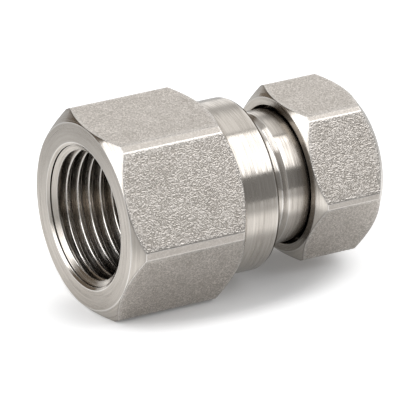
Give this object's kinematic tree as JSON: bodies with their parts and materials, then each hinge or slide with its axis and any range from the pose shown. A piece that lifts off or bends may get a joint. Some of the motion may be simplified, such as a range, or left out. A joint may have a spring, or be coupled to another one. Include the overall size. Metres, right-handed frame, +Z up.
{
  "type": "female adapter fitting",
  "caption": "Steel compression tube fitting: hexagon body with a female parallel thread at one end and a hexagon nut over paired ferrules at the other.",
  "frame": {"origin": "on the surface that the body's lower flat lies on, under the middle of the overall length", "axes": "+X along the common axis from the female thread's mouth to the nut, +Z up, square to the lower flat"},
  "size_m": [0.043, 0.0304, 0.027],
  "materials": {
    "body_steel": "warm grey stainless steel: grained hexagon flats, turned faces and collar",
    "nut_steel": "warm grey stainless steel, grained flats and turned chamfers",
    "ferrule_steel": "finely turned stainless steel"
  },
  "bodies": {
    "fitting_body": {"body": "body_steel"},
    "front_ring": {"front_ferrule": "ferrule_steel"},
    "back_ring": {"back_ferrule": "ferrule_steel"},
    "nut": {"compression_nut": "nut_steel"}
  },
  "joints": [
    {"name": "front_ferrule_slide", "type": "slide", "parent": "fitting_body", "child": "front_ring", "axis": [1, 0, 0], "range_m": [-0.00079, 0.00143]},
    {"name": "back_ferrule_slide", "type": "slide", "parent": "front_ring", "child": "back_ring", "axis": [1, 0, 0], "range_m": [-0.00079, 0.00143]},
    {"name": "nut_turn", "type": "hinge", "parent": "back_ring", "child": "nut", "pos_m": [0.01553, 0, 0.0135], "axis": [1, 0, 0], "range_deg": [-450, 810]}
  ],
  "couplings": [
    {"joint": "back_ferrule_slide", "follows": "front_ferrule_slide", "ratio": 1},
    {"joint": "nut_turn", "follows": "front_ferrule_slide", "rad_per_m": 9894.8}
  ]
}
